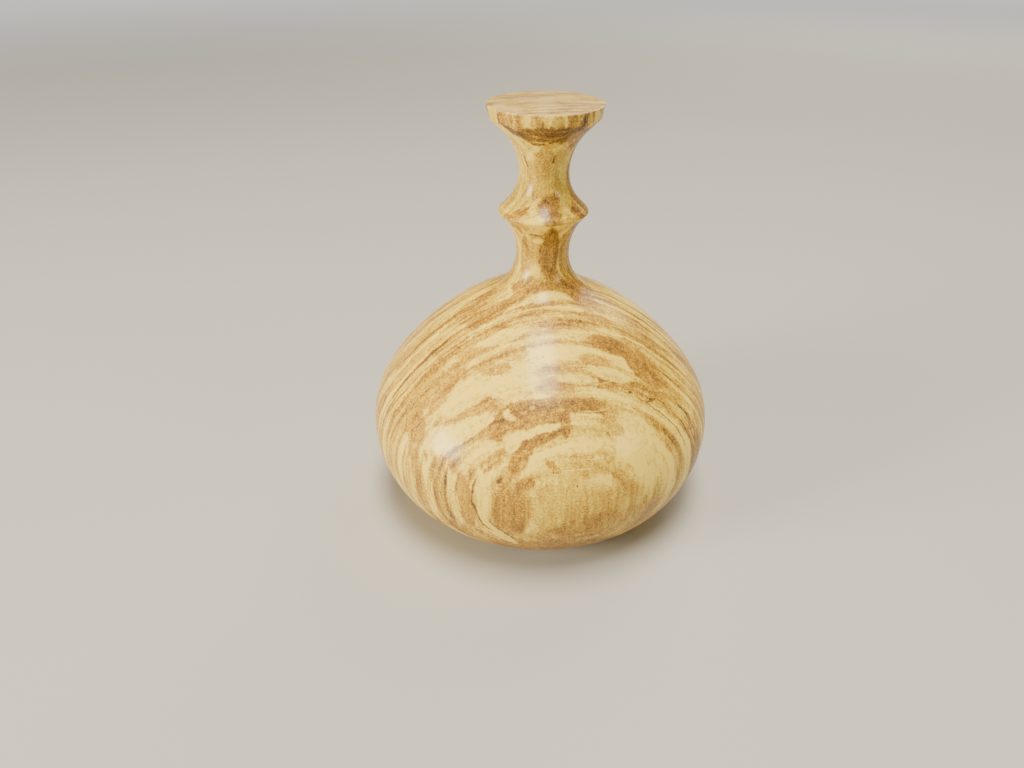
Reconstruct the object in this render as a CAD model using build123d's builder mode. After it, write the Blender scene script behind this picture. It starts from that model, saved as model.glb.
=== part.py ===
"""Eyeglasses display stand: a one-piece turned wooden spindle with a felt pad under its foot.

The stand is turned between centres from a single blank, so the onion-shaped bulb, the neck with
its bead and the disc on top are one piece of wood.  The glasses hang on the upper neck, with
their bridge between the bead and the disc.  A round felt pad is glued into a shallow recess in
the foot and stands a little proud of it, so the wood never touches the table.

Frame: millimetres, +Z up along the turning axis, origin on the axis at the underside of the pad.
"""

import os
from math import acos, cos, degrees, hypot, radians, sin, sqrt, tan

from build123d import *

# ---------------------------------------------------------------- driving dimensions, in mm
# felt pad and the recess that takes it
pad_diameter = 30.0
pad_thickness = 1.6
pad_edge_radius = 0.3
recess_depth = 1.0
recess_clearance = 0.2  # radial, between the pad's edge and the recess wall

# bulb: two arcs meet at the widest circle, and a flatter one makes the shoulder
bulb_diameter = 66.0
equator_height = 18.5  # widest circle above the table
lower_belly_radius = 18.6
upper_belly_radius = 17.2
belly_turn = 36.0  # degrees that the upper belly turns before the shoulder begins
shoulder_radius = 52.0

# lower neck, between the bulb and the bead
lower_waist_diameter = 9.6
neck_root_radius = 8.0  # hollow where the neck runs out into the shoulder

# bead: a crisp lower arris at its widest circle, and a flank that falls back to the upper neck
bead_diameter = 16.0
bead_rise = 7.6  # arris above the lower waist
bead_edge_radius = 0.8

# upper neck, where the bridge of the glasses sits
upper_waist_diameter = 8.8
upper_waist_rise = 7.0  # upper waist above the bead's arris
bead_hollow_radius = 7.4  # hollow between the bead's flank and the upper waist

# top disc: the neck flares out to it, and its rim widens a little towards the top
flare_angle = 46.0  # degrees from the axis where the flare meets the rim
disc_rise = 9.2  # lower arris of the rim above the upper waist
disc_lower_diameter = 19.0
disc_upper_diameter = 19.9
rim_height = 2.2
disc_crown = 0.35  # dome of the top face
rim_edge_radius = 0.3

# ---------------------------------------------------------------- sizes that follow from them
foot_height = pad_thickness - recess_depth  # the wood's underside, clear of the table
bulb_radius = bulb_diameter / 2
lower_waist_radius = lower_waist_diameter / 2
upper_waist_radius = upper_waist_diameter / 2
bead_radius = bead_diameter / 2
disc_lower_radius = disc_lower_diameter / 2
disc_upper_radius = disc_upper_diameter / 2

# The lower belly's arc is cut off by the flat of the foot.
lower_belly_center_r = bulb_radius - lower_belly_radius
equator_above_foot = equator_height - foot_height
foot_radius = lower_belly_center_r + sqrt(lower_belly_radius**2 - equator_above_foot**2)
foot_angle = degrees(acos((foot_radius - lower_belly_center_r) / lower_belly_radius))

# The shoulder's arc continues the upper belly's arc, so their centres and the joint are in line.
upper_belly_center_r = bulb_radius - upper_belly_radius
center_shift = upper_belly_radius - shoulder_radius
shoulder_center_r = upper_belly_center_r + center_shift * cos(radians(belly_turn))
shoulder_center_z = equator_height + center_shift * sin(radians(belly_turn))

# The hollow at the neck's root touches the shoulder's arc and stands upright at the lower waist.
root_center_r = lower_waist_radius + neck_root_radius
shoulder_end = acos((root_center_r - shoulder_center_r) / (shoulder_radius + neck_root_radius))
lower_waist_z = shoulder_center_z + (shoulder_radius + neck_root_radius) * sin(shoulder_end)

# The cove under the bead stands upright at the lower waist and ends in the bead's arris.
cove_depth = bead_radius - lower_waist_radius
cove_radius = (bead_rise**2 + cove_depth**2) / (2 * cove_depth)
cove_turn = degrees(acos((cove_radius - cove_depth) / cove_radius))
bead_z = lower_waist_z + bead_rise

# The bead's flank is the straight line that touches its rounded edge and the hollow above it.
upper_waist_z = bead_z + upper_waist_rise
edge_center_r = bead_radius - bead_edge_radius
hollow_center_r = upper_waist_radius + bead_hollow_radius
center_distance = hypot(hollow_center_r - edge_center_r, upper_waist_rise)
center_angle = acos((hollow_center_r - edge_center_r) / center_distance)
flank_angle = center_angle - acos((bead_edge_radius + bead_hollow_radius) / center_distance)

# The flare's arc starts upright at the upper waist and ends in a straight run at flare_angle.
flare = radians(flare_angle)
flare_gap = disc_rise * tan(flare) - (disc_lower_radius - upper_waist_radius)
flare_radius = flare_gap / (sin(flare) * tan(flare) - 1 + cos(flare))
disc_z = upper_waist_z + disc_rise
top_edge_z = disc_z + rim_height
crown_radius = (disc_upper_radius**2 + disc_crown**2) / (2 * disc_crown)

os.makedirs("parts", exist_ok=True)

# ---------------------------------------------------------------- turned body
with BuildPart() as turned_body:
    with BuildSketch(Plane.XZ) as half_section:
        with BuildLine():
            foot = Line((0, foot_height), (foot_radius, foot_height))
            lower_belly = CenterArc(
                (lower_belly_center_r, equator_height), lower_belly_radius, -foot_angle, foot_angle
            )
            upper_belly = CenterArc(
                (upper_belly_center_r, equator_height), upper_belly_radius, 0, belly_turn
            )
            shoulder = CenterArc(
                (shoulder_center_r, shoulder_center_z),
                shoulder_radius,
                belly_turn,
                degrees(shoulder_end) - belly_turn,
            )
            neck_root = CenterArc(
                (root_center_r, lower_waist_z),
                neck_root_radius,
                180,
                degrees(shoulder_end),
            )
            cove = CenterArc(
                (lower_waist_radius + cove_radius, lower_waist_z), cove_radius, 180, -cove_turn
            )
            bead_edge = CenterArc((edge_center_r, bead_z), bead_edge_radius, 0, degrees(flank_angle))
            hollow = CenterArc(
                (hollow_center_r, upper_waist_z), bead_hollow_radius, 180, degrees(flank_angle)
            )
            flank = Line(bead_edge @ 1, hollow @ 1)
            flare_arc = CenterArc(
                (upper_waist_radius + flare_radius, upper_waist_z), flare_radius, 180, -flare_angle
            )
            flare_run = Line(flare_arc @ 1, (disc_lower_radius, disc_z))
            rim = Line(flare_run @ 1, (disc_upper_radius, top_edge_z))
            crown = RadiusArc(rim @ 1, (0, top_edge_z + disc_crown), -crown_radius)
            axis = Line(crown @ 1, foot @ 0)
        make_face()
        rim_top_corner = half_section.vertices().sort_by(Axis.Y)[-2]
        fillet(rim_top_corner, radius=rim_edge_radius)
    revolve(axis=Axis.Z)
    with BuildSketch(Plane.XY.offset(foot_height)):
        Circle(pad_diameter / 2 + recess_clearance)
    extrude(amount=recess_depth, mode=Mode.SUBTRACT)
turned_body.part.label = "turned_body"

# ---------------------------------------------------------------- felt pad in the foot's recess
with BuildPart() as base_pad:
    with BuildSketch(Plane.XY):
        Circle(pad_diameter / 2)
    extrude(amount=pad_thickness)
    fillet(base_pad.edges().sort_by(Axis.Z)[0], radius=pad_edge_radius)
base_pad.part.label = "base_pad"

# ---------------------------------------------------------------- write one STEP file per piece
for piece in (turned_body, base_pad):
    export_step(piece.part, f"parts/{piece.part.label}.step")

print(f"height {top_edge_z + disc_crown:.2f}, lower waist at {lower_waist_z:.2f}, bead at {bead_z:.2f}")
print(f"upper waist at {upper_waist_z:.2f}, rim from {disc_z:.2f}, foot radius {foot_radius:.2f}")
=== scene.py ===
"""Looks of a turned wooden eyeglasses stand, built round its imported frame.

Shapes are in metres in the frame's own axes: +Z up the turning axis, -Y towards the viewer.  The
tables of the wood's figure are in millimetres of the plank that it was turned from.
The wood is one solid block as far as its figure goes: the growth layers are nearly upright planes
that face the viewer, so they come out as nested ovals on the bulb and upright streaks on the necks.
"""

import logging
import math
from dataclasses import dataclass
from enum import Enum

import bpy
import numpy as np
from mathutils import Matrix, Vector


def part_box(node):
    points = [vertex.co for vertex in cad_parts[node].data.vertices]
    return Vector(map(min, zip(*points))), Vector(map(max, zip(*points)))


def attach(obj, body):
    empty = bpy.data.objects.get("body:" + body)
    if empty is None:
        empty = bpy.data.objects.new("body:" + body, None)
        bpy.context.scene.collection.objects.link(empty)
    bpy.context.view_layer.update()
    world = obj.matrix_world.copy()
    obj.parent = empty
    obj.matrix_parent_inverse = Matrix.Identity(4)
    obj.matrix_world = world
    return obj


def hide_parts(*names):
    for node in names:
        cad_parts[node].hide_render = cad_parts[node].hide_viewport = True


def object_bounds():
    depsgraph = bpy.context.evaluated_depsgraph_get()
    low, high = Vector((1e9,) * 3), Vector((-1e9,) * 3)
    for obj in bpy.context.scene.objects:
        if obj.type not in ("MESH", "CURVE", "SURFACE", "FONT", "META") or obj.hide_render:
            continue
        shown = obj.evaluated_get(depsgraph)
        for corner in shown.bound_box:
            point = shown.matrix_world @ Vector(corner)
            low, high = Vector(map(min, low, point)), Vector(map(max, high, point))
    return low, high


LOG = logging.getLogger("eyeglasses_stand")
MM = 0.001
Socket = bpy.types.NodeSocket
Period = tuple[float, float, float]  # how far a noise takes to change along each axis, in mm

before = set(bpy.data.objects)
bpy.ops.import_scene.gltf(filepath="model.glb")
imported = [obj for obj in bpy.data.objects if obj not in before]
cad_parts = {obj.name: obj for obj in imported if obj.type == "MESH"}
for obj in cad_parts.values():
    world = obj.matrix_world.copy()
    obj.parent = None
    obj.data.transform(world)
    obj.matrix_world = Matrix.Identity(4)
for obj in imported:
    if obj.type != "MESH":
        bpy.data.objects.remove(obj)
cad_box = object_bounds()


# ---------------------------------------------------------------- shared helpers
def srgb(code: str) -> tuple[float, float, float, float]:
    """Turns an sRGB hex colour into the linear colour that a shader socket takes.

    Args:
        code: six hex digits, with or without a leading hash.

    Returns:
        Linear red, green, blue and an alpha of 1.
    """
    code = code.lstrip("#")
    parts = [int(code[i : i + 2], 16) / 255 for i in (0, 2, 4)]
    linear = [p / 12.92 if p <= 0.04045 else ((p + 0.055) / 1.055) ** 2.4 for p in parts]
    return (*linear, 1.0)


class Graph:
    """The node tree of one material or world, with a single way to add a node."""

    def __init__(self, owner: bpy.types.Material | bpy.types.World) -> None:
        """Empties the owner's node tree.

        Args:
            owner: the material or world that the tree belongs to.
        """
        owner.use_nodes = True
        self.owner = owner
        self.tree = owner.node_tree
        self.tree.nodes.clear()

    @classmethod
    def material(cls, name: str) -> "Graph":
        """Starts the tree of a new material of that name."""
        return cls(bpy.data.materials.new(name))

    def add(self, kind: str, *inputs: object, out: int | str = 0, **settings: object) -> Socket:
        """Adds one node, fills its inputs in order and gives back one of its outputs.

        Args:
            kind: the node's type without its ShaderNode prefix.
            inputs: a socket to link, a value to set, or None to leave that input alone.
            out: which output to return.
            settings: properties of the node, or the names of further inputs.

        Returns:
            The output socket.
        """
        node = self.tree.nodes.new("ShaderNode" + kind)
        named = {key: value for key, value in settings.items() if not hasattr(node, key)}
        for key, value in settings.items():
            if key not in named:
                setattr(node, key, value)
        for key, value in [*enumerate(inputs), *((k.replace("_", " "), v) for k, v in named.items())]:
            if isinstance(value, Socket):
                self.tree.links.new(value, node.inputs[key])
            elif value is not None:
                node.inputs[key].default_value = value
        return node.outputs[out] if node.outputs else None

    def ramp(self, value: Socket, stops: list[tuple[float, tuple]]) -> Socket:
        """Adds a colour ramp that runs straight from one stop to the next.

        Args:
            value: what the ramp reads.
            stops: position and linear colour of each stop, in order.

        Returns:
            The ramp's colour.
        """
        color = self.add("ValToRGB", value)
        band = color.node.color_ramp
        while len(band.elements) < len(stops):
            band.elements.new(1.0)
        for element, (position, shade) in zip(band.elements, stops):
            element.position = position
            element.color = shade
        return color

    def finish(self, shader: Socket) -> bpy.types.Material | bpy.types.World:
        """Links the shader to the output and returns the tree's owner."""
        kind = "OutputWorld" if isinstance(self.owner, bpy.types.World) else "OutputMaterial"
        self.add(kind, shader)
        return self.owner


def turned_piece(name: str, outline: np.ndarray, sectors: int) -> bpy.types.Object:
    """Carries an outline round the upright axis and makes a mesh object of it.

    A point of the surface is (r cos a, r sin a, z) for the outline's (r, z) and the angle a.
    Rings i and i + 1 are joined by quads, the last point of a ring joins its first, and each end
    ring is closed by a fan onto the mean of its points, so the surface has no seam and no hole.

    Args:
        name: the object's name.
        outline: array of points by (r, z), in metres, from the middle of the underside to the top.
        sectors: how many points a ring has.

    Returns:
        The new object, linked to the scene.
    """
    angle = np.linspace(0, 2 * math.pi, sectors, endpoint=False)
    rings = len(outline)
    radius, height = outline[:, :1], outline[:, 1:]
    upright = np.broadcast_to(height, (rings, sectors))
    points = np.stack([radius * np.cos(angle), radius * np.sin(angle), upright], axis=-1)
    index = np.arange(rings * sectors).reshape(rings, sectors)
    right = np.roll(index, -1, axis=1)
    quads = np.stack([index[:-1], right[:-1], right[1:], index[1:]], axis=-1).reshape(-1, 4)
    vertices = np.vstack([points.reshape(-1, 3), points[[0, -1]].mean(axis=1)])
    bottom, top = len(vertices) - 2, len(vertices) - 1
    low = np.stack([right[0], index[0], np.full(sectors, bottom)], axis=-1)
    high = np.stack([index[-1], right[-1], np.full(sectors, top)], axis=-1)
    faces = quads.tolist() + low.tolist() + high.tolist()
    mesh = bpy.data.meshes.new(name)
    mesh.from_pydata(vertices.tolist(), [], faces)
    mesh.polygons.foreach_set("use_smooth", np.ones(len(mesh.polygons), dtype=bool))
    mesh.update()
    piece = bpy.data.objects.new(name, mesh)
    bpy.context.scene.collection.objects.link(piece)
    return piece


# ---------------------------------------------------------------- the turner's template
@dataclass(frozen=True)
class Arc:
    """A stretch of a circle in the template's plane."""

    center_r: float
    center_z: float
    radius: float
    start: float
    turn: float

    def points(self, pitch: float) -> np.ndarray:
        """Samples the arc in at least six steps.

        A point is center + radius * (cos t, sin t) for t from start to start + turn.

        Args:
            pitch: largest step along the arc, in metres.

        Returns:
            Array of points by (r, z).
        """
        steps = max(6, math.ceil(abs(self.turn) * self.radius / pitch))
        t = self.start + self.turn * np.linspace(0, 1, steps + 1)
        along_r = self.center_r + self.radius * np.cos(t)
        along_z = self.center_z + self.radius * np.sin(t)
        return np.column_stack([along_r, along_z])


@dataclass(frozen=True)
class Template:
    """Half outline of the turning from foot to crown, all lengths in metres, angles in radians."""

    lower_belly_radius: float = 18.6 * MM
    upper_belly_radius: float = 17.2 * MM
    equator_height: float = 18.5 * MM
    belly_turn: float = math.radians(36)
    shoulder_radius: float = 52.0 * MM
    lower_waist_radius: float = 4.8 * MM
    neck_root_radius: float = 8.0 * MM
    bead_radius: float = 8.0 * MM
    bead_rise: float = 7.6 * MM
    bead_edge_radius: float = 0.8 * MM
    upper_waist_radius: float = 4.4 * MM
    upper_waist_rise: float = 7.0 * MM
    bead_hollow_radius: float = 7.4 * MM
    flare_angle: float = math.radians(46)
    disc_rise: float = 9.2 * MM
    disc_lower_radius: float = 9.5 * MM
    disc_upper_radius: float = 9.95 * MM
    rim_height: float = 2.2 * MM
    disc_crown: float = 0.35 * MM
    crown_share: float = 0.96  # how much of the crown is drawn before the fan that closes it
    recess_depth: float = 1.0 * MM
    recess_clearance: float = 0.2 * MM
    hub_radius: float = 0.4 * MM  # radius of the fan that closes the recess's ceiling
    arris_softness: float = 0.05 * MM
    arris_turn: float = math.radians(20)  # the least turn that counts as an arris
    least_step: float = 0.01 * MM  # points nearer than this are one point
    pitch: float = 0.36 * MM

    def outline(self, bulb_radius: float, foot_height: float, recess_radius: float) -> np.ndarray:
        """Works out the outline as arcs that touch each other, from the recess to the crown.

        Args:
            bulb_radius: radius of the widest circle.
            foot_height: height of the wood's underside.
            recess_radius: radius of the recess in the foot.

        Returns:
            Array of points by (r, z), from the recess's ceiling out, up and in to the crown.
        """
        lower_r = bulb_radius - self.lower_belly_radius
        foot_drop = self.equator_height - foot_height
        foot_angle = math.asin(foot_drop / self.lower_belly_radius)
        upper_r = bulb_radius - self.upper_belly_radius
        shift = self.upper_belly_radius - self.shoulder_radius
        shoulder_r = upper_r + shift * math.cos(self.belly_turn)
        shoulder_z = self.equator_height + shift * math.sin(self.belly_turn)
        root_r = self.lower_waist_radius + self.neck_root_radius
        reach = self.shoulder_radius + self.neck_root_radius
        shoulder_end = math.acos((root_r - shoulder_r) / reach)
        lower_waist_z = shoulder_z + reach * math.sin(shoulder_end)

        cove_depth = self.bead_radius - self.lower_waist_radius
        cove_radius = (self.bead_rise**2 + cove_depth**2) / (2 * cove_depth)
        cove_turn = math.asin(self.bead_rise / cove_radius)
        bead_z = lower_waist_z + self.bead_rise
        upper_waist_z = bead_z + self.upper_waist_rise
        edge_r = self.bead_radius - self.bead_edge_radius
        hollow_r = self.upper_waist_radius + self.bead_hollow_radius
        apart = math.hypot(hollow_r - edge_r, self.upper_waist_rise)
        flank = math.acos((hollow_r - edge_r) / apart)
        flank -= math.acos((self.bead_edge_radius + self.bead_hollow_radius) / apart)

        slope = math.tan(self.flare_angle)
        gap = self.disc_rise * slope - (self.disc_lower_radius - self.upper_waist_radius)
        flare_radius = gap / (math.sin(self.flare_angle) * slope - 1 + math.cos(self.flare_angle))
        disc_z = upper_waist_z + self.disc_rise
        top_z = disc_z + self.rim_height
        crown_radius = (self.disc_upper_radius**2 + self.disc_crown**2) / (2 * self.disc_crown)
        crown_tilt = math.asin(self.disc_upper_radius / crown_radius)

        foot_r = lower_r + self.lower_belly_radius * math.cos(foot_angle)
        ceiling_z = foot_height + self.recess_depth
        ceiling = (recess_radius, ceiling_z)
        foot_edge = (recess_radius, foot_height)
        shoulder_turn = shoulder_end - self.belly_turn
        cove_r = self.lower_waist_radius + cove_radius
        flare_r = self.upper_waist_radius + flare_radius
        crown_z = top_z + self.disc_crown - crown_radius
        crown_turn = crown_tilt * self.crown_share
        arcs = [
            Arc(lower_r, self.equator_height, self.lower_belly_radius, -foot_angle, foot_angle),
            Arc(upper_r, self.equator_height, self.upper_belly_radius, 0, self.belly_turn),
            Arc(shoulder_r, shoulder_z, self.shoulder_radius, self.belly_turn, shoulder_turn),
            Arc(root_r, lower_waist_z, self.neck_root_radius, math.pi + shoulder_end, -shoulder_end),
            Arc(cove_r, lower_waist_z, cove_radius, math.pi, -cove_turn),
            Arc(edge_r, bead_z, self.bead_edge_radius, 0, flank),
            Arc(hollow_r, upper_waist_z, self.bead_hollow_radius, math.pi + flank, -flank),
            Arc(flare_r, upper_waist_z, flare_radius, math.pi, -self.flare_angle),
        ]
        crown = Arc(0, crown_z, crown_radius, math.pi / 2 - crown_tilt, crown_turn)
        runs = [
            self.straight((self.hub_radius, ceiling_z), ceiling),
            self.straight(ceiling, foot_edge),
            self.straight(foot_edge, (foot_r, foot_height)),
            *(arc.points(self.pitch) for arc in arcs),
            self.straight((self.disc_lower_radius, disc_z), (self.disc_upper_radius, top_z)),
            crown.points(self.pitch),
        ]
        return self.soften(np.vstack(runs))

    def straight(self, start: tuple[float, float], end: tuple[float, float]) -> np.ndarray:
        """Samples a straight run between two points of the template."""
        steps = max(1, round(math.dist(start, end) / self.pitch))
        return np.linspace(start, end, steps + 1)

    def soften(self, points: np.ndarray) -> np.ndarray:
        """Drops doubled points and breaks each arris by a narrow flat.

        A point where the outline turns by more than arris_turn gives way to two points, one on
        each side of it, at arris_softness or a third of the step, whichever is less.

        Args:
            points: array of points by (r, z).

        Returns:
            The softened outline.
        """
        step = np.linalg.norm(np.diff(points, axis=0), axis=1)
        points = points[np.concatenate([[True], step > self.least_step])]
        ahead = np.diff(points, axis=0)
        length = np.linalg.norm(ahead, axis=1)
        course = np.unwrap(np.arctan2(ahead[:, 1], ahead[:, 0]))
        turn = np.abs(np.diff(course))
        sharp = np.concatenate([[False], turn > self.arris_turn, [False]])
        before = np.concatenate([length[:1], length])
        after = np.concatenate([length, length[-1:]])
        unit = ahead / length[:, None]
        back = np.vstack([unit[:1], unit])
        forward = np.vstack([unit, unit[-1:]])
        shift_back = np.where(sharp, np.minimum(self.arris_softness, before / 3), 0)[:, None]
        shift_on = np.where(sharp, np.minimum(self.arris_softness, after / 3), 0)[:, None]
        pairs = np.stack([points - back * shift_back, points + forward * shift_on], axis=1)
        keep = np.stack([np.ones(len(points), dtype=bool), sharp], axis=1)
        return pairs[keep]


# ---------------------------------------------------------------- finishes
class Tone(Enum):
    """How far stain has gone into the wood, from clean sapwood to a fungal zone line.  A few patches use
    these tones for painted shade.
    """

    CREAM = 0.06
    STRAW = 0.25
    GOLDEN = 0.46
    BROWN = 0.64
    DARK = 0.98


@dataclass(frozen=True)
class Patch:
    """One patch of a single tone, an ellipse as seen from the front of the plank, in mm.

    The tilt is in degrees.
    """

    across: float
    up: float
    half_length: float
    half_width: float
    tilt: float
    tone: Tone
    strength: float = 0.8


@dataclass(frozen=True)
class LayerLine:
    """A narrow line that follows a growth layer wherever the layer lies inside a patch, in mm."""

    depth: float
    half_width: float
    patch: Patch


# Depth of a layer in front of the turning axis, in mm, and the tone of the wood there.
LAYERS: tuple[tuple[float, Tone], ...] = (
    (11.0, Tone.GOLDEN),
    (12.2, Tone.STRAW),
    (13.4, Tone.GOLDEN),
    (14.4, Tone.CREAM),
    (15.6, Tone.GOLDEN),
    (16.6, Tone.CREAM),
    (18.6, Tone.STRAW),
    (19.9, Tone.GOLDEN),
    (21.6, Tone.GOLDEN),
    (22.4, Tone.CREAM),
    (23.5, Tone.CREAM),
    (24.2, Tone.GOLDEN),
    (25.6, Tone.GOLDEN),
    (26.2, Tone.CREAM),
    (26.9, Tone.CREAM),
    (27.5, Tone.GOLDEN),
    (28.6, Tone.STRAW),
    (29.1, Tone.CREAM),
    (29.9, Tone.CREAM),
    (30.5, Tone.STRAW),
    (31.6, Tone.STRAW),
    (32.3, Tone.STRAW),
)

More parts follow.
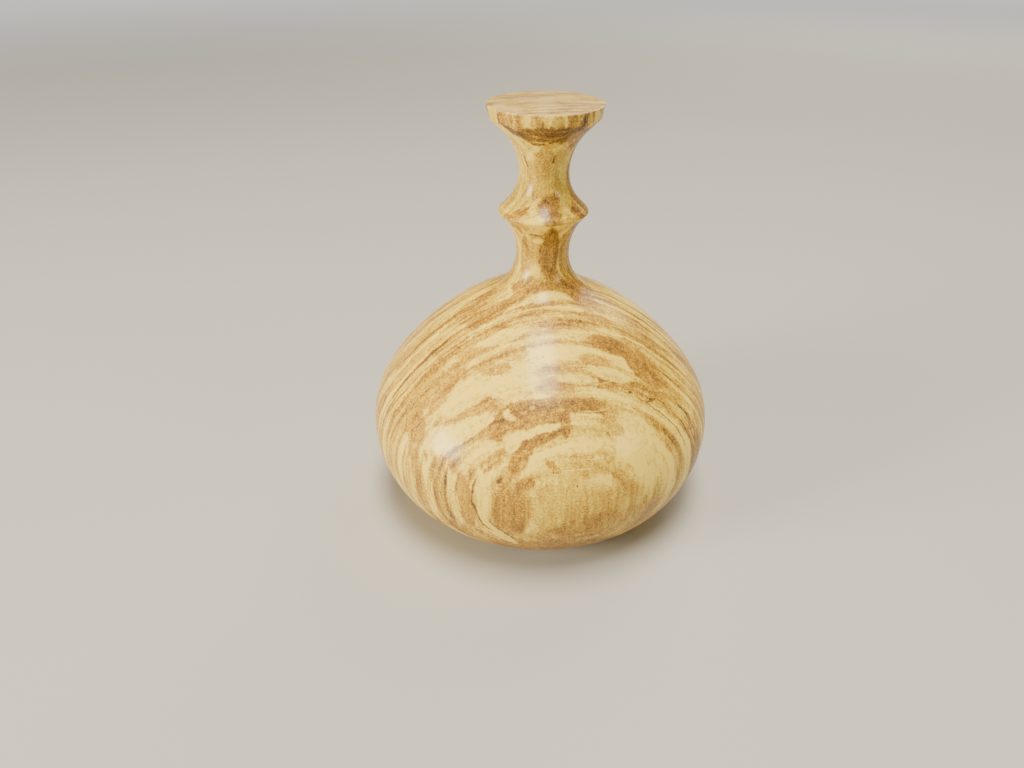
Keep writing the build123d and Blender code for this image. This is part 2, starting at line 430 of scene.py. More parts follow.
BULB_PATCHES: tuple[Patch, ...] = (
    # swirl above the middle: a golden-brown field, then the pale tongues and islands in it
    Patch(-4.4, 34.5, 6.6, 0.95, 6, Tone.BROWN, 0.85),
    Patch(2.8, 34.5, 4.4, 0.75, -5, Tone.BROWN, 0.8),
    Patch(-11.6, 31.8, 1.3, 2.4, 0, Tone.BROWN, 0.85),
    Patch(-5.4, 32.7, 5.4, 1.1, 7, Tone.BROWN, 0.85),
    Patch(-0.3, 32.2, 0.9, 1.9, -8, Tone.BROWN, 0.9),
    Patch(-4.6, 30.4, 3.9, 0.75, 18, Tone.BROWN, 0.85),
    Patch(-8.2, 27.8, 2.8, 1.3, 50, Tone.BROWN, 0.8),
    Patch(-10.2, 25.0, 2.0, 1.3, 40, Tone.BROWN, 0.6),
    Patch(-10.6, 23.6, 2.2, 1.2, 0, Tone.GOLDEN, 0.9),
    Patch(-13.6, 25.6, 1.8, 0.35, 42, Tone.BROWN, 0.6),
    Patch(-13.0, 27.4, 4.6, 0.55, 24, Tone.GOLDEN, 0.85),
    Patch(-13.4, 30.6, 2.6, 0.45, 30, Tone.GOLDEN, 0.85),
    Patch(-14.4, 33.0, 3.2, 0.5, 22, Tone.GOLDEN, 0.8),
    Patch(4.6, 31.2, 3.8, 1.6, -6, Tone.STRAW, 0.9),
    Patch(3.2, 32.0, 1.8, 0.5, 0, Tone.CREAM, 0.6),
    Patch(-3.7, 31.8, 2.5, 0.52, 8, Tone.CREAM, 0.95),
    Patch(-6.6, 31.0, 2.4, 0.5, 18, Tone.CREAM, 0.95),
    Patch(-9.1, 29.6, 1.9, 0.75, 40, Tone.CREAM, 0.95),
    Patch(-9.4, 32.9, 1.0, 0.45, 4, Tone.CREAM, 0.95),
    Patch(-9.8, 33.3, 0.5, 0.75, -30, Tone.CREAM, 0.95),
    Patch(-5.6, 34.3, 0.5, 0.25, 10, Tone.CREAM, 0.7),
    Patch(-7.2, 33.6, 0.8, 0.2, 20, Tone.STRAW, 0.7),
    Patch(-17.2, 29.5, 6.6, 0.85, 33, Tone.CREAM, 0.95),
    Patch(-15.2, 27.4, 3.2, 1.2, 28, Tone.CREAM, 0.7),
    Patch(-8.6, 36.6, 5.2, 1.2, 12, Tone.CREAM, 0.85),
    Patch(-17.0, 33.4, 4.6, 1.3, 32, Tone.CREAM, 0.7),
    Patch(-13.2, 28.9, 1.2, 0.7, 20, Tone.CREAM, 0.85),
    Patch(-17.4, 31.8, 3.6, 0.3, 34, Tone.GOLDEN, 0.7),
    Patch(-20.8, 32.2, 3.6, 0.45, 46, Tone.GOLDEN, 0.7),
    Patch(-21.4, 27.4, 3.6, 1.5, 42, Tone.CREAM, 0.9),
    Patch(-18.6, 35.6, 4.6, 0.6, 40, Tone.GOLDEN, 0.9),
    Patch(-22.4, 33.4, 5.6, 0.9, 50, Tone.GOLDEN, 0.85),
    Patch(-25.4, 29.0, 3.6, 0.9, 62, Tone.GOLDEN, 0.8),
    Patch(-15.0, 39.0, 2.2, 0.6, 24, Tone.GOLDEN, 0.8),
    # brown oval low on the left and the pale crescent round it
    Patch(-10.0, 18.2, 3.1, 6.6, -3, Tone.GOLDEN, 0.95),
    Patch(-11.0, 18.0, 2.0, 5.4, -3, Tone.BROWN, 0.45),
    Patch(-8.9, 17.6, 1.1, 5.6, -3, Tone.BROWN, 0.75),
    Patch(-12.6, 18.2, 0.8, 5.0, 4, Tone.BROWN, 0.6),
    Patch(-7.8, 23.6, 1.7, 1.0, 25, Tone.BROWN, 0.8),
    Patch(-3.0, 26.6, 1.7, 0.6, -42, Tone.BROWN, 0.75),
    Patch(-8.0, 9.4, 3.4, 0.17, -46, Tone.DARK, 0.65),
    Patch(-9.6, 12.4, 2.6, 1.0, -45, Tone.GOLDEN, 0.8),
    # darker wood towards the foot, partly to stand for the shade of a dark table
    Patch(-2.0, 7.6, 12.0, 3.2, -3, Tone.BROWN, 0.9),
    Patch(-14.0, 9.0, 8.0, 2.4, -20, Tone.BROWN, 0.6),
    # crescents and bands round the oval
    Patch(-14.7, 19.6, 0.85, 6.2, 4, Tone.CREAM, 0.95),
    Patch(-12.0, 12.0, 4.4, 0.8, -42, Tone.CREAM, 0.85),
    Patch(-17.6, 18.0, 1.3, 6.4, 6, Tone.GOLDEN, 0.9),
    Patch(-17.0, 17.6, 0.7, 5.4, 6, Tone.BROWN, 0.45),
    Patch(-19.4, 18.0, 0.7, 6.8, 8, Tone.CREAM, 0.8),
    Patch(-21.6, 18.5, 1.0, 7.0, 8, Tone.GOLDEN, 0.9),
    Patch(-23.6, 18.5, 0.7, 7.0, 9, Tone.CREAM, 0.8),
    Patch(-25.2, 19.5, 0.9, 7.6, 9, Tone.GOLDEN, 0.9),
    Patch(-24.8, 27.6, 1.0, 2.6, -24, Tone.BROWN, 0.6),
    # quiet middle, with a faint darker oval right of it, and darker below
    Patch(1.2, 17.5, 7.2, 7.8, 0, Tone.STRAW, 0.9),
    Patch(2.8, 17.0, 8.0, 5.8, 0, Tone.GOLDEN, 0.6),
    Patch(-3.4, 20.0, 2.6, 5.0, 0, Tone.STRAW, 0.6),
    Patch(11.2, 18.5, 0.8, 5.4, 6, Tone.GOLDEN, 0.55),
    Patch(13.7, 17.3, 0.5, 1.2, 0, Tone.GOLDEN, 0.8),
    Patch(2.4, 11.6, 4.6, 0.5, -4, Tone.BROWN, 0.5),
    Patch(5.0, 12.2, 13.0, 5.0, 6, Tone.BROWN, 0.5),
    Patch(15.4, 11.6, 1.0, 1.8, 0, Tone.BROWN, 0.6),
    Patch(17.0, 11.6, 7.0, 3.8, 24, Tone.BROWN, 0.45),
    # pale field on the right, the golden arc round it, the pale band outside that
    Patch(12.4, 26.6, 3.8, 6.4, 32, Tone.CREAM, 0.95),
    Patch(16.6, 21.5, 1.5, 5.0, 8, Tone.CREAM, 0.7),
    Patch(8.0, 31.0, 2.4, 0.9, -38, Tone.GOLDEN, 0.6),
    # darker right edge of the bulb, partly browner wood and partly painted shade
    Patch(28.2, 21.0, 3.0, 11.0, 0, Tone.GOLDEN, 0.6),
    Patch(26.0, 18.5, 1.7, 5.2, 4, Tone.BROWN, 0.75),
    Patch(16.6, 17.0, 0.35, 4.0, 8, Tone.GOLDEN, 0.6),
    Patch(20.2, 13.6, 0.45, 2.8, -26, Tone.GOLDEN, 0.7),
    Patch(17.4, 11.0, 0.4, 2.4, -38, Tone.GOLDEN, 0.6),
    Patch(6.4, 27.8, 1.7, 1.5, 0, Tone.GOLDEN, 0.6),
    Patch(0.6, 26.4, 4.2, 2.2, 0, Tone.GOLDEN, 0.45),
    Patch(9.6, 22.6, 2.2, 3.2, 20, Tone.GOLDEN, 0.45),
    Patch(3.0, 25.3, 3.4, 0.9, 0, Tone.GOLDEN, 0.45),
    # fine light rings left by the tool
    Patch(1.4, 28.6, 5.6, 0.09, 1, Tone.CREAM, 0.8),
    Patch(5.2, 27.2, 3.6, 0.08, -3, Tone.CREAM, 0.8),
    Patch(0.4, 26.0, 3.4, 0.07, 0, Tone.CREAM, 0.7),
    Patch(7.4, 35.0, 4.4, 0.08, -4, Tone.CREAM, 0.7),
    Patch(8.6, 36.4, 3.8, 0.08, -4, Tone.CREAM, 0.7),
    Patch(5.0, 33.4, 3.0, 0.08, -2, Tone.CREAM, 0.7),
    Patch(6.4, 38.4, 3.4, 0.08, -4, Tone.CREAM, 0.6),
    # short dark streaks that follow the layers on the right
    Patch(16.0, 32.3, 0.8, 0.22, -10, Tone.DARK, 0.8),
    Patch(23.9, 26.4, 2.2, 0.16, -64, Tone.DARK, 0.7),
    Patch(25.2, 23.6, 1.6, 0.16, -74, Tone.DARK, 0.65),
    Patch(12.0, 34.4, 0.5, 0.16, -30, Tone.DARK, 0.8),
    Patch(7.0, 30.2, 0.5, 0.16, -40, Tone.DARK, 0.6),
    Patch(-11.9, 24.0, 0.7, 0.2, 50, Tone.DARK, 0.75),
    # shoulder: golden patches and streaks left and right of the neck
    Patch(-11.0, 38.3, 2.9, 0.7, 14, Tone.GOLDEN, 0.85),
    Patch(-7.4, 40.2, 2.4, 0.6, 14, Tone.GOLDEN, 0.85),
    Patch(-0.8, 36.7, 2.9, 1.3, 0, Tone.GOLDEN, 0.85),
    Patch(6.2, 39.2, 2.9, 0.7, -16, Tone.GOLDEN, 0.85),
    Patch(9.4, 40.3, 3.6, 0.8, -22, Tone.BROWN, 0.8),
    Patch(13.0, 38.6, 4.6, 0.6, -36, Tone.BROWN, 0.6),
    Patch(15.0, 36.2, 4.8, 1.1, -42, Tone.BROWN, 0.85),
    Patch(20.6, 31.4, 3.2, 0.9, -48, Tone.GOLDEN, 0.85),
    Patch(8.2, 43.2, 3.0, 0.6, -26, Tone.GOLDEN, 0.8),
    Patch(11.6, 35.4, 3.4, 0.55, -22, Tone.GOLDEN, 0.9),
    Patch(17.6, 34.8, 3.6, 0.7, -44, Tone.BROWN, 0.65),
    Patch(14.4, 38.2, 3.0, 0.7, -34, Tone.GOLDEN, 0.85),
    Patch(2.6, 37.4, 3.6, 0.6, -8, Tone.CREAM, 0.8),
    Patch(8.6, 37.2, 4.4, 0.7, -20, Tone.CREAM, 0.85),
    Patch(-10.6, 43.6, 4.8, 0.5, 26, Tone.BROWN, 0.7),
    Patch(-8.6, 41.9, 4.4, 0.45, 20, Tone.CREAM, 0.8),
    Patch(6.4, 46.2, 3.0, 0.8, -36, Tone.BROWN, 0.85),
)

NECK_PATCHES: tuple[Patch, ...] = (
    # lower neck, from the root up to the bead
    Patch(-4.0, 48.4, 2.6, 0.45, 36, Tone.BROWN, 0.8),
    Patch(4.6, 46.9, 2.9, 1.0, -38, Tone.BROWN, 0.9),
    Patch(-1.9, 50.6, 0.9, 1.3, -20, Tone.CREAM, 0.85),
    Patch(0.4, 54.0, 1.6, 5.6, 0, Tone.BROWN, 0.9),
    # painted shade on the lower neck, below the bead
    Patch(0.2, 54.6, 2.2, 4.4, 0, Tone.DARK, 0.25),
    Patch(3.2, 54.4, 0.9, 3.2, 0, Tone.GOLDEN, 0.9),
    Patch(-2.9, 54.5, 0.5, 3.2, 0, Tone.STRAW, 0.8),
    Patch(-3.9, 53.6, 0.5, 4.0, 0, Tone.BROWN, 0.6),
    # more painted shade on the lower neck, below the bead
    Patch(-1.0, 54.8, 2.6, 3.6, 0, Tone.BROWN, 0.45),
    Patch(-1.8, 56.4, 0.9, 0.6, 0, Tone.CREAM, 0.9),
    Patch(-1.3, 54.5, 0.16, 0.45, 0, Tone.DARK, 0.9),
    Patch(-1.3, 52.1, 0.18, 0.5, 0, Tone.DARK, 0.95),
    Patch(-5.2, 58.6, 1.6, 0.4, -44, Tone.BROWN, 0.85),
    Patch(-2.4, 57.6, 1.4, 0.28, -6, Tone.BROWN, 0.8),
    Patch(5.1, 58.8, 1.2, 0.7, 20, Tone.BROWN, 0.9),
    # bead
    Patch(-2.8, 60.4, 2.6, 0.35, 0, Tone.CREAM, 0.9),
    Patch(5.1, 61.1, 1.9, 0.5, -34, Tone.DARK, 0.65),
    Patch(-5.8, 60.2, 1.4, 0.6, 0, Tone.GOLDEN, 0.8),
    Patch(3.2, 60.4, 1.6, 0.5, 0, Tone.GOLDEN, 0.7),
    Patch(-5.4, 61.3, 2.4, 0.35, 26, Tone.BROWN, 0.85),
    Patch(-2.2, 63.0, 1.7, 0.42, 44, Tone.CREAM, 0.8),
    # painted shade on the front of the bead, laid as a brown patch and a faint dark one
    Patch(0.2, 62.2, 2.2, 2.2, 0, Tone.BROWN, 0.9),
    Patch(0.0, 62.4, 1.6, 1.8, 0, Tone.DARK, 0.22),
    Patch(3.0, 63.0, 1.2, 1.5, -20, Tone.STRAW, 0.85),
    Patch(-0.7, 63.3, 0.14, 0.3, 0, Tone.DARK, 0.8),
    Patch(1.0, 64.5, 0.14, 0.35, 0, Tone.DARK, 0.8),
    # upper neck
    Patch(-3.1, 71.2, 0.4, 2.3, -18, Tone.CREAM, 0.8),
    Patch(-3.6, 69.6, 0.14, 1.2, 24, Tone.BROWN, 0.9),
    Patch(-0.8, 69.6, 1.6, 3.2, 0, Tone.GOLDEN, 0.8),
    Patch(2.6, 70.0, 1.3, 2.8, 0, Tone.STRAW, 0.9),
    Patch(0.7, 70.3, 0.14, 0.8, -14, Tone.DARK, 0.8),
    # hollow under the disc: two dark lines that meet in a V, and the dark field between them, which is
    # partly dark wood and partly painted shade under the disc
    Patch(0.2, 75.2, 6.4, 1.5, 0, Tone.DARK, 0.72),
    Patch(-5.6, 75.0, 3.4, 0.4, -32, Tone.DARK, 0.7),
    Patch(2.2, 74.3, 3.2, 0.32, 20, Tone.DARK, 0.65),
    Patch(-2.2, 73.2, 1.1, 0.3, 0, Tone.DARK, 0.7),
    Patch(4.2, 74.2, 1.7, 1.2, 30, Tone.BROWN, 0.8),
    # rim of the disc, cut across the layers into upright stripes
    Patch(-9.0, 77.4, 0.5, 1.1, 0, Tone.STRAW, 0.8),
    Patch(-8.4, 77.4, 0.22, 1.1, 0, Tone.BROWN, 0.9),
    Patch(-6.9, 77.4, 0.5, 1.1, 0, Tone.GOLDEN, 0.9),
    Patch(-5.9, 77.4, 0.2, 1.1, 0, Tone.BROWN, 0.6),
    Patch(-4.9, 77.4, 0.6, 1.1, 0, Tone.STRAW, 0.95),
    Patch(-3.3, 77.4, 0.6, 1.1, 0, Tone.GOLDEN, 0.6),
    Patch(-2.1, 77.2, 0.2, 0.5, 0, Tone.BROWN, 0.9),
    Patch(-1.3, 77.4, 0.35, 1.1, 0, Tone.STRAW, 0.9),
    Patch(0.4, 77.4, 0.9, 1.1, 0, Tone.GOLDEN, 0.8),
    Patch(1.7, 77.4, 0.3, 1.1, 0, Tone.CREAM, 0.9),
    Patch(3.0, 77.4, 0.8, 1.1, 0, Tone.BROWN, 0.7),
    Patch(4.9, 77.4, 0.16, 1.1, 0, Tone.DARK, 0.7),
    Patch(5.9, 77.4, 0.5, 1.1, 0, Tone.STRAW, 0.9),
    Patch(6.6, 77.4, 0.16, 1.1, 0, Tone.BROWN, 0.9),
    Patch(7.5, 77.4, 0.6, 1.1, 0, Tone.CREAM, 0.9),
)

LAYER_LINES: tuple[LayerLine, ...] = (
    # left: the pale crescent, the dark line outside it and thin lines between the bands
    LayerLine(29.1, 0.4, Patch(-14.2, 16.5, 3.4, 8.0, 4, Tone.CREAM, 0.85)),
    LayerLine(28.5, 0.17, Patch(-15.4, 17.0, 3.0, 6.6, 0, Tone.DARK, 0.9)),
    LayerLine(29.4, 0.14, Patch(-11.0, 12.6, 4.2, 2.6, -45, Tone.DARK, 0.85)),
    LayerLine(26.7, 0.15, Patch(-19.0, 17.0, 2.4, 8.0, 4, Tone.BROWN, 0.85)),
    LayerLine(25.4, 0.17, Patch(-20.2, 17.0, 2.6, 8.0, 5, Tone.DARK, 0.55)),
    LayerLine(23.2, 0.14, Patch(-23.0, 17.5, 2.4, 8.0, 5, Tone.BROWN, 0.7)),
    LayerLine(21.4, 0.15, Patch(-24.6, 18.0, 2.4, 8.0, 6, Tone.BROWN, 0.85)),
    LayerLine(20.0, 0.18, Patch(-26.0, 19.0, 2.4, 9.0, 6, Tone.BROWN, 0.8)),
    LayerLine(15.8, 0.3, Patch(-28.8, 20.0, 2.0, 8.0, 6, Tone.GOLDEN, 0.8)),
    # right: a golden-brown arc, the pale bands outside it, and dark lines beyond
    LayerLine(25.05, 0.5, Patch(18.4, 22.5, 5.0, 11.0, 18, Tone.BROWN, 0.75)),
    LayerLine(24.2, 0.4, Patch(17.5, 28.5, 7.0, 3.4, -48, Tone.CREAM, 0.75)),
    LayerLine(23.5, 0.5, Patch(22.6, 19.0, 2.6, 7.0, 0, Tone.CREAM, 0.9)),
    LayerLine(23.4, 0.17, Patch(18.4, 28.6, 6.6, 3.0, -48, Tone.DARK, 0.85)),
    LayerLine(21.95, 0.17, Patch(21.6, 27.4, 6.0, 2.6, -60, Tone.DARK, 0.75)),
    LayerLine(20.1, 0.24, Patch(23.2, 27.8, 2.6, 1.4, -60, Tone.DARK, 0.95)),
    LayerLine(20.75, 0.16, Patch(24.7, 24.4, 3.6, 1.6, -70, Tone.DARK, 0.8)),
)


@dataclass(frozen=True)
class Warp:
    """A noise that shifts the figure: its period, its furthest shift in mm and its detail."""

    period: Period
    reach: float
    detail: float


@dataclass(frozen=True)
class SpaltedBeech:
    """Spalted beech, turned, sanded and finished with clear gloss lacquer.

    Fungus has stained the layers unevenly, which gives cream, golden and brown bands and thin
    dark zone lines.  Beech shows fine flecks where its rays are cut.  The lacquer gives a soft
    clear gloss over it.
    """

    plank_turn: float = math.radians(8)  # the layers face 8 degrees to the viewer's right
    cream: str = "#F2D458"
    straw: str = "#D3B43E"
    golden: str = "#B98D28"
    brown: str = "#946A2A"
    dark: str = "#4B3F30"
    end_light: str = "#CDB891"
    end_grey: str = "#A08A66"
    cream_stop: float = 0.04  # where the ramp's cream lies, a little short of the cream tone
    plank_half: float = 34.0  # mm, the depth that LAYERS are drawn out to
    core: tuple[float, float] = (9.0, 14.0)  # mm, over which the inner layers give way to LAYERS
    figured_front: tuple[float, float] = (0.5, 3.0)  # mm of depth over which the patches set in
    lean: float = 0.09  # how much nearer the axis a layer line lies for each mm further up
    lean_height: float = 20.0  # mm, where a layer line lies at its own depth
    warp: Warp = Warp((18.0, 18.0, 39.6), 0.8, 3.0)
    ragged: Warp = Warp((1.6, 1.6, 2.6), 0.34, 4.0)
    fibre: Warp = Warp((0.45, 0.45, 5.0), 0.2, 2.0)
    mottle_period: Period = (8.0, 2.4, 11.0)
    mottling: float = 0.22  # how far the tone strays within a layer
    layer_period: Period = (13.0, 0.85, 26.0)
    layering: float = 0.22  # how far it strays from one thin layer to the next
    fleck_period: float = 0.3  # mm
    flecking: tuple[float, float] = (0.17, 0.30)  # how far a fleck strays in pale and in dark wood
    grain_period: Period = (0.7, 0.7, 10.0)
    graining: float = 0.13
    patch_edge: float = 0.18  # half the width of a patch's soft edge, as a share of its half size
    line_edge: float = 0.3
    end_height: tuple[float, float] = (78.3, 78.55)  # mm, over which the end grain sets in
    lacquer_roughness: float = 0.19

    def material(self) -> bpy.types.Material:
        """Builds the solid figure from nodes that read Object coordinates in mm of the plank.

        Returns:
            The material.
        """
        g = Graph.material("lacquered_spalted_beech")
        place = g.add("TexCoord", out="Object")
        to_mm = (1 / MM, 1 / MM, 1 / MM)
        turned = g.add("Mapping", place, None, (0, 0, -self.plank_turn), to_mm, vector_type="POINT")
        warp = self.shift(g, turned, self.warp)
        frayed = g.add("VectorMath", turned, self.shift(g, turned, self.ragged), operation="ADD")
        frayed = g.add("VectorMath", frayed, self.shift(g, turned, self.fibre), operation="ADD")
        bent = g.add("VectorMath", frayed, warp, operation="ADD")
        flat = g.add("VectorMath", frayed, (1.0, 0.0, 1.0), operation="MULTIPLY")

        tone = self.layer_tone(g, self.depth(g, bent), frayed)
        mottle = self.noise(g, bent, self.mottle_period, 4.0, Roughness=0.55)
        mottle = g.add("MapRange", mottle, 0.3, 0.7, -self.mottling, self.mottling)
        tone = g.add("Math", tone, mottle, operation="ADD")
        lines = self.noise(g, bent, self.layer_period, 3.0, Roughness=0.6)
        thin = g.add("MapRange", lines, 0.3, 0.7, -self.layering, self.layering)
        tone = g.add("Math", tone, thin, operation="ADD")
        patched = self.patched(g, flat, tone)
        depth = self.depth(g, turned)
        front = g.add("MapRange", depth, *self.figured_front, 0.0, 1.0, interpolation_type="SMOOTHSTEP")
        tone = g.add("Mix", front, None, tone, patched)
        tone = g.add("Math", thin, 0.5, tone, operation="MULTIPLY_ADD")
        tone = self.lined(g, frayed, flat, tone)

        flecks = self.noise(g, turned, (self.fleck_period,) * 3, 2.0)
        coarse = g.add("MapRange", tone, 0.1, 0.7, *self.flecking)
        fleck_tone = g.add("MapRange", flecks, 0.25, 0.75, -1.0, 1.0)
        tone = g.add("Math", fleck_tone, coarse, tone, operation="MULTIPLY_ADD")
        grain = self.noise(g, frayed, self.grain_period, 3.0)
        grain = g.add("MapRange", grain, 0.3, 0.7, -self.graining, self.graining)
        tone = g.add("Math", tone, grain, operation="ADD")
        tone = g.add("Math", tone, self.tool_lines(g, turned), operation="SUBTRACT")
        tone = g.add("Mix", self.pin_specks(g, turned), None, tone, Tone.DARK.value)

        stops = [
            (self.cream_stop, srgb(self.cream)),
            (Tone.STRAW.value, srgb(self.straw)),
            (Tone.GOLDEN.value, srgb(self.golden)),
            (Tone.BROWN.value, srgb(self.brown)),
            (Tone.DARK.value, srgb(self.dark)),
        ]
        color = self.end_grain(g, turned, g.ramp(tone, stops))
        bump = g.add("Bump", 0.1, 0.04 * MM, None, flecks)
        shader = g.add(
            "BsdfPrincipled",
            color,
            Roughness=0.5,
            IOR=1.5,
            Normal=bump,
            Specular_IOR_Level=0.15,
            Coat_Weight=0.4,
            Coat_Roughness=self.lacquer_roughness,
            Coat_IOR=1.5,
        )
        return g.finish(shader)

    def depth(self, g: Graph, place: Socket) -> Socket:
        """Gives the depth in front of the axis, in mm, which falls as the plank's Y grows."""
        return g.add("Math", g.add("SeparateXYZ", place, out="Y"), -1.0, operation="MULTIPLY")

    def patched(self, g: Graph, flat: Socket, tone: Socket) -> Socket:
        """Lays every patch over the tone, in order."""
        for patch in (*BULB_PATCHES, *NECK_PATCHES):
            share = self.window(g, flat, patch, self.patch_edge, patch.strength)
            tone = g.add("Mix", share, None, tone, patch.tone.value)
        return tone

    def lined(self, g: Graph, place: Socket, flat: Socket, tone: Socket) -> Socket:
        """Draws every layer line over the tone.

        A line lies where depth + lean * (height - lean_height) is the line's own depth.

        Args:
            g: the material's graph.
            place: plank coordinates.
            flat: the same with the depth taken out.
            tone: the tone to draw over.

        Returns:
            The tone with the lines in it.
        """
        height = g.add("SeparateXYZ", place, out="Z")
        upward = g.add("Math", height, self.lean_height, operation="SUBTRACT")
        layer = g.add("Math", upward, self.lean, self.depth(g, place), operation="MULTIPLY_ADD")
        for line in LAYER_LINES:
            patch = line.patch
            off = g.add("Math", layer, line.depth, operation="SUBTRACT")
            off = g.add("Math", off, operation="ABSOLUTE")
            fall = (0.0, line.half_width, patch.strength, 0.0)
            near = g.add("MapRange", off, *fall, interpolation_type="SMOOTHSTEP")
            window = self.window(g, flat, patch, self.line_edge, 1.0)
            share = g.add("Math", near, window, operation="MULTIPLY")
            tone = g.add("Mix", share, None, tone, patch.tone.value)
        return tone

    def tool_lines(self, g: Graph, place: Socket) -> Socket:
        """Gives the faint light rings that the turning tool leaves, here and there up the axis."""
        rings = self.noise(g, place, (300.0, 300.0, 0.34), 1.0)
        line = g.add("MapRange", rings, 0.56, 0.70, 0.0, 0.16, interpolation_type="SMOOTHSTEP")
        spread = self.noise(g, place, (6.0, 6.0, 3.0), 1.0)
        shown = g.add("MapRange", spread, 0.50, 0.60, 0.0, 1.0, interpolation_type="SMOOTHSTEP")
        return g.add("Math", line, shown, operation="MULTIPLY")

    def end_grain(self, g: Graph, place: Socket, color: Socket) -> Socket:
        """Greys the top of the disc, where the cut ends of the fibres drink more lacquer."""
        height = g.add("SeparateXYZ", place, out="Z")
        share = g.add("MapRange", height, *self.end_height, 0.0, 0.5)
        blotch = self.noise(g, place, (3.0, 2.4, 30.0), 4.0)
        grey = g.ramp(blotch, [(0.42, srgb(self.end_light)), (0.58, srgb(self.end_grey))])
        before_colors = (None,) * 5  # the Mix node's sockets for plain numbers and vectors
        return g.add("Mix", share, *before_colors, color, grey, out=2, data_type="RGBA")

    def pin_specks(self, g: Graph, place: Socket) -> Socket:
        """Gives 0.75 in small dark specks of fungus a few millimetres apart, and 0 between them."""
        near = g.add("TexVoronoi", self.scaled(g, place, (2.7, 2.7, 3.8)), out="Distance", Scale=1.0)
        return g.add("MapRange", near, 0.04, 0.075, 0.75, 0.0, interpolation_type="SMOOTHSTEP")

    def scaled(self, g: Graph, place: Socket, period: Period) -> Socket:
        """Divides plank coordinates by a period in mm along each axis."""
        return g.add("Mapping", place, None, None, tuple(1 / p for p in period), vector_type="POINT")

    def noise(
        self, g: Graph, place: Socket, period: Period, detail: float, out: str | int = 0, **more: float
    ) -> Socket:
        """Gives a noise that changes over the period in mm, as a number or as a colour."""
        spot = self.scaled(g, place, period)
        return g.add("TexNoise", spot, out=out, Scale=1.0, Detail=detail, **more)

    def shift(self, g: Graph, place: Socket, warp: Warp) -> Socket:
        """Gives a random shift, about 0, that bends or frays the figure."""
        color = self.noise(g, place, warp.period, warp.detail, out="Color")
        centred = g.add("VectorMath", color, (0.5, 0.5, 0.5), operation="SUBTRACT")
        return g.add("VectorMath", centred, (2 * warp.reach,) * 3, operation="MULTIPLY")

    def window(self, g: Graph, flat: Socket, patch: Patch, softness: float, strength: float) -> Socket:
        """Gives the strength inside the patch's ellipse and 0 outside, with a soft edge.

        The ball texture falls from 1 at its middle to 0 at its edge, and the patch is cut at half.

        Args:
            g: the material's graph.
            flat: plank coordinates with the depth taken out.
            patch: the ellipse.
            softness: half the width of the edge, as a share of the ellipse's half size.
            strength: what the middle of the ellipse gives.

        Returns:
            The share of the patch's tone.
        """
        place = g.add(
            "Mapping",
            flat,
            (patch.across, 0, patch.up),
            (0, -math.radians(patch.tilt), 0),
            (2 * patch.half_length, 1, 2 * patch.half_width),
            vector_type="TEXTURE",
        )
        ball = g.add("TexGradient", place, out="Fac", gradient_type="SPHERICAL")
        low, high = (1 - softness) / 2, (1 + softness) / 2
        return g.add("MapRange", ball, low, high, 0.0, strength, interpolation_type="SMOOTHSTEP")

    def layer_tone(self, g: Graph, depth: Socket, place: Socket) -> Socket:
        """Gives the tone of the growth layer at a depth.

        The outer layers follow LAYERS on both faces of the plank.  The layers near the axis change
        tone by a noise that is quick with depth and drawn out along the fibres.  The tone rides in
        the ramp's alpha, which is a plain number and so needs no conversion from a colour.
        """
        depth_abs = g.add("Math", depth, operation="ABSOLUTE")
        share = g.add("Math", depth_abs, self.plank_half, operation="DIVIDE")
        stops = [(level / self.plank_half, (0.0, 0.0, 0.0, tone.value)) for level, tone in LAYERS]
        outer = g.ramp(share, stops).node.outputs["Alpha"]
        inner = self.noise(g, place, (14.0, 1.3, 45.0), 3.0)
        inner_tone = g.add("MapRange", inner, 0.32, 0.68, 0.1, 0.56)
        blend = g.add("MapRange", depth_abs, *self.core, 0.0, 1.0, interpolation_type="SMOOTHSTEP")
        return g.add("Mix", blend, None, inner_tone, outer)


@dataclass(frozen=True)
class PressedFelt:
    """Pressed wool felt, die-cut: short tangled fibres, so it is dull, dark and slightly fuzzy."""

    fibre_period: float = 0.35  # mm, across the fibres
    cloud_period: float = 3.0  # mm, how far the thickness of the mat stays the same
    lay: tuple[float, float] = (0.6, 2.1)  # radians, the two ways that the fibres run
    light: str = "#5A4E45"
    dark: str = "#2E2722"

    def material(self) -> bpy.types.Material:
        """Builds the material from two sets of fibres that cross, laid over slow clouds."""
        g = Graph.material("pressed_wool_felt")
        place = g.add("TexCoord", out="Object")
        long_way, thin_way = 1 / (5 * self.fibre_period * MM), 1 / (self.fibre_period * MM)
        scale = (long_way, thin_way, thin_way)
        strands = []
        for turn in self.lay:
            spot = g.add("Mapping", place, None, (0, 0, turn), scale, vector_type="POINT")
            strands.append(g.add("TexNoise", spot, Scale=1.0, Detail=3.0, Distortion=0.8))
        fibres = g.add("Math", *strands, operation="MAXIMUM")
        scale = (1 / (self.cloud_period * MM),) * 3
        spot = g.add("Mapping", place, None, None, scale, vector_type="POINT")
        cloud = g.add("TexNoise", spot, Scale=1.0, Detail=2.0)
        cloud = g.add("MapRange", cloud, 0.3, 0.7, -0.08, 0.08)
        tone = g.add("Math", fibres, cloud, operation="ADD")
        color = g.ramp(tone, [(0.38, srgb(self.dark)), (0.72, srgb(self.light))])
        bump = g.add("Bump", 0.6, 0.08 * MM, None, fibres)
        shader = g.add(
            "BsdfPrincipled",
            color,
            Roughness=0.95,
            IOR=1.5,
            Normal=bump,
            Sheen_Weight=0.3,
            Sheen_Roughness=0.5,
        )
        return g.finish(shader)


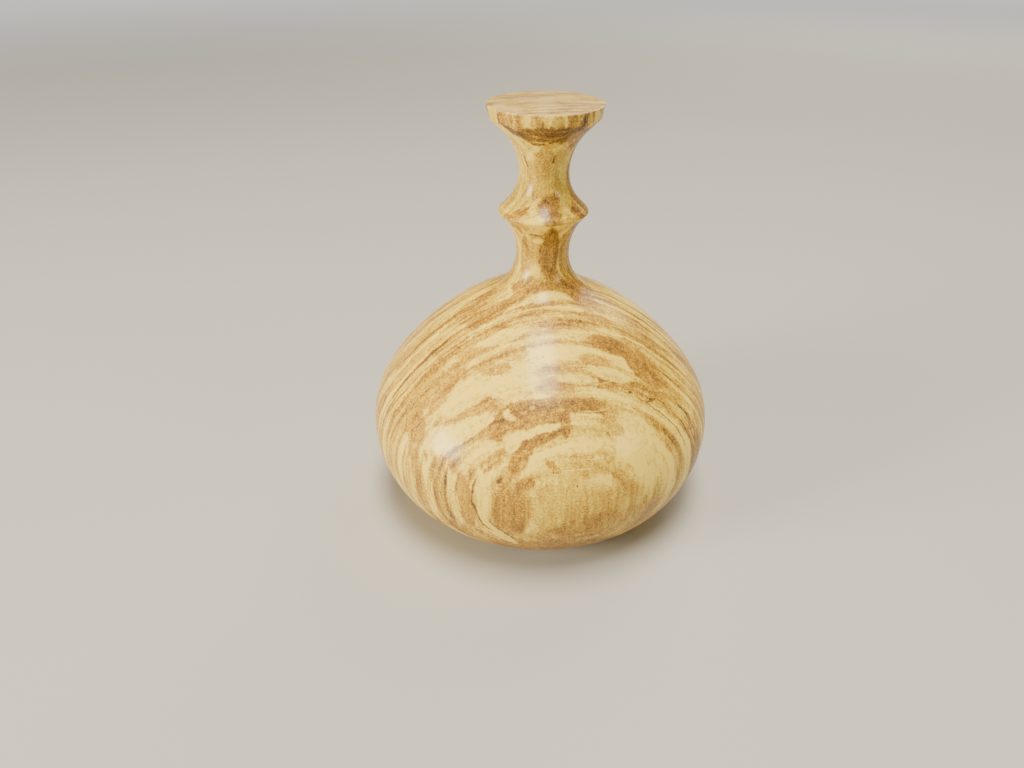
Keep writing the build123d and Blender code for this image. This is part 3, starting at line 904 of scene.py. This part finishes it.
# ---------------------------------------------------------------- sub-assemblies
@dataclass
class TurnedBody:
    """Bulb, necks, bead and disc: one piece of wood, turned between centres."""

    node: str = "turned_body"
    slot: str = "lacquered_beech"
    sectors: int = 256
    tolerance: float = 0.05 * MM
    template: Template = Template()
    finish: SpaltedBeech = SpaltedBeech()

    def build(self, pad_radius: float) -> bpy.types.Object:
        """Carries the template round the axis and dresses the result.

        Args:
            pad_radius: radius of the pad that the recess in the foot takes.

        Returns:
            The finished piece.
        """
        low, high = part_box(self.node)
        bulb_radius = (high.x - low.x) / 2
        recess_radius = pad_radius + self.template.recess_clearance
        outline = self.template.outline(bulb_radius, low.z, recess_radius)
        self.check(outline, high.z)
        piece = turned_piece("turned_wood", outline, self.sectors)
        piece.data.materials.append(self.finish.material())
        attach(piece, "root")
        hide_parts(self.node)
        return piece

    def check(self, outline: np.ndarray, top: float) -> None:
        """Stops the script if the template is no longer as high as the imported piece."""
        if abs(outline[:, 1].max() - top) > self.tolerance:
            raise ValueError(f"template is {outline[:, 1].max():.5f} m high, the piece {top:.5f} m")


@dataclass
class BasePad:
    """Round felt pad glued into the foot."""

    node: str = "base_pad"
    slot: str = "felt"
    sectors: int = 144
    edge_radius: float = 0.3 * MM
    edge_pitch: float = 0.05 * MM
    hub_radius: float = 0.5 * MM  # radius of the fans that close both faces
    face_rings: int = 12
    finish: PressedFelt = PressedFelt()

    @property
    def radius(self) -> float:
        """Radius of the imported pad."""
        low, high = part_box(self.node)
        return (high.x - low.x) / 2

    def build(self) -> bpy.types.Object:
        """Carries a rectangle with a rounded lower corner round the axis and dresses it."""
        low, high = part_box(self.node)
        edge_r = self.radius - self.edge_radius
        corner = Arc(edge_r, low.z + self.edge_radius, self.edge_radius, -math.pi / 2, math.pi / 2)
        under = np.linspace((self.hub_radius, low.z), (edge_r, low.z), self.face_rings)
        top = np.linspace((self.radius, high.z), (self.hub_radius, high.z), self.face_rings)
        outline = np.vstack([under[:-1], corner.points(self.edge_pitch), top])
        piece = turned_piece("felt_pad", outline, self.sectors)
        piece.data.materials.append(self.finish.material())
        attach(piece, "root")
        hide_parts(self.node)
        return piece


# ---------------------------------------------------------------- studio
@dataclass(frozen=True)
class Softbox:
    """A plain rectangular light aimed at the stand."""

    name: str
    azimuth: float  # degrees, 0 towards the viewer, 90 to the viewer's right
    elevation: float  # degrees
    distance: float
    width: float
    height: float
    power: float
    color: str = "#FFF2D8"

    def place(self, aim: float) -> None:
        """Hangs the light so that it faces the point at that height on the axis."""
        turn, lift = math.radians(self.azimuth), math.radians(self.elevation)
        light = bpy.data.lights.new(self.name, "AREA")
        light.shape = "RECTANGLE"
        light.size, light.size_y = self.width, self.height
        light.energy = self.power
        light.color = srgb(self.color)[:3]
        lamp = bpy.data.objects.new(self.name, light)
        lamp.location = (
            self.distance * math.sin(turn) * math.cos(lift),
            -self.distance * math.cos(turn) * math.cos(lift),
            aim + self.distance * math.sin(lift),
        )
        lamp.rotation_euler = (math.pi / 2 - lift, 0, turn)
        bpy.context.scene.collection.objects.link(lamp)


@dataclass(frozen=True)
class Studio:
    """Pale floor, a wall that only the camera sees, soft light and the camera."""

    floor_half: float = 3.0
    floor_color: str = "#B4B4B4"
    world_color: str = "#E4E4E2"
    world_strength: float = 0.075
    backdrop: float = 0.85  # how bright the wall behind and the far floor look
    glow_reach: tuple[float, float] = (0.35, 1.3)  # m out, over which the floor starts to glow
    camera_side: float = -5.55 * MM
    camera_back: float = 137.67 * MM
    camera_height: float = 106.19 * MM
    camera_pitch: float = math.radians(30.77)
    lens: float = 28.1  # mm
    softboxes: tuple[Softbox, ...] = (
        Softbox("overhead", 2, 76, 0.75, 0.22, 0.46, 11.5),
        Softbox("left_window", -64, 14, 0.80, 0.29, 0.30, 11.0),
        Softbox("right_window", 60, 21, 0.80, 0.20, 0.24, 1.4),
        Softbox("back_fill", 150, 34, 0.90, 0.50, 0.50, 4.0),
    )

    def build(self, aim: float) -> None:
        """Sets up floor, world, lights and camera.

        Args:
            aim: height on the axis that the lights face.
        """
        half = self.floor_half
        mesh = bpy.data.meshes.new("floor")
        corners = [(-half, -half, 0), (half, -half, 0), (half, half, 0), (-half, half, 0)]
        mesh.from_pydata(corners, [], [(0, 1, 2, 3)])
        floor = bpy.data.objects.new("floor", mesh)
        g = Graph.material("matt_floor")
        away = g.add("VectorMath", g.add("TexCoord", out="Object"), out="Value", operation="LENGTH")
        glow = g.add("MapRange", away, *self.glow_reach, 0.0, self.backdrop, interpolation_type="SMOOTHSTEP")
        shader = g.add(
            "BsdfPrincipled",
            srgb(self.floor_color),
            Roughness=0.85,
            Emission_Color=srgb(self.world_color),
            Emission_Strength=glow,
        )
        mesh.materials.append(g.finish(shader))
        bpy.context.scene.collection.objects.link(floor)

        g = Graph(bpy.data.worlds.new("studio"))
        light = g.add("Background", srgb(self.world_color), self.world_strength)
        wall = g.add("Background", srgb(self.world_color), self.backdrop)
        seen = g.add("LightPath", out="Is Camera Ray")
        bpy.context.scene.world = g.finish(g.add("MixShader", seen, light, wall))
        for softbox in self.softboxes:
            softbox.place(aim)

        camera = bpy.data.cameras.new("camera")
        camera.lens = self.lens
        camera.clip_start = 1 * MM
        eye = bpy.data.objects.new("camera", camera)
        eye.location = (self.camera_side, -self.camera_back, self.camera_height)
        eye.rotation_euler = (math.pi / 2 - self.camera_pitch, 0, 0)
        bpy.context.scene.collection.objects.link(eye)
        bpy.context.scene.camera = eye


def main() -> None:
    """Builds the pieces and the studio and reports each piece."""
    logging.basicConfig(level=logging.INFO, format="%(name)s: %(message)s")
    pad = BasePad()
    body = TurnedBody()
    for piece in (pad.build(), body.build(pad.radius)):
        mesh = piece.data
        LOG.info("%s: %d faces, material %s", piece.name, len(mesh.polygons), mesh.materials[0].name)
    low, high = cad_box
    Studio().build((low[2] + high[2]) / 2)


if __name__ == "__main__":
    main()
